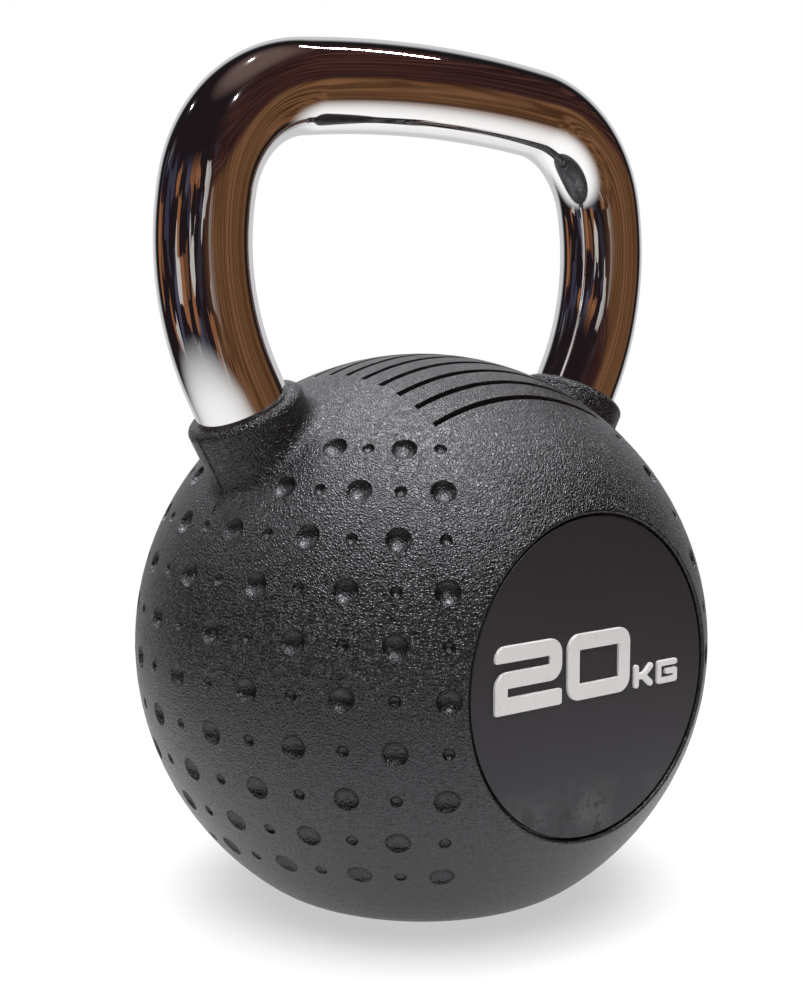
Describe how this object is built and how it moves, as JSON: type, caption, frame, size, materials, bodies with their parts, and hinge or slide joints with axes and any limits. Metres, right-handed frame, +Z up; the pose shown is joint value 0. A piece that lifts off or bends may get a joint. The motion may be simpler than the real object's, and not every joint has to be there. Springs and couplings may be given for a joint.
{
  "type": "kettlebell",
  "caption": "Round kettlebell: an iron core in a dimpled black rubber casing on a flat base, with a thick polished steel handle, raised collars and flat round badges.",
  "frame": {"origin": "centre of the flat base, which is also the bottom centre of the bounding box", "axes": "+Z up, the handle spans X in the XZ plane, the front badge faces -Y"},
  "size_m": [0.1954, 0.161, 0.2745],
  "materials": {
    "core_iron": "as cast",
    "weld_steel": "as welded",
    "handle_chrome": "mirror polished",
    "casing_rubber": "fine leather grain",
    "adhesive": "soft film",
    "badge_plastic": "satin",
    "glyph_plastic": "satin white"
  },
  "bodies": {
    "root": {"iron_core": "core_iron", "left_weld_bead": "weld_steel", "right_weld_bead": "weld_steel", "handle": "handle_chrome", "rubber_casing": "casing_rubber", "front_adhesive": "adhesive", "front_badge": "badge_plastic", "front_digit_two": "glyph_plastic", "front_digit_zero": "glyph_plastic", "front_letter_k": "glyph_plastic", "front_letter_g": "glyph_plastic", "rear_adhesive": "adhesive", "rear_badge": "badge_plastic", "rear_digit_two": "glyph_plastic", "rear_digit_zero": "glyph_plastic", "rear_letter_k": "glyph_plastic", "rear_letter_g": "glyph_plastic"}
  },
  "joints": []
}
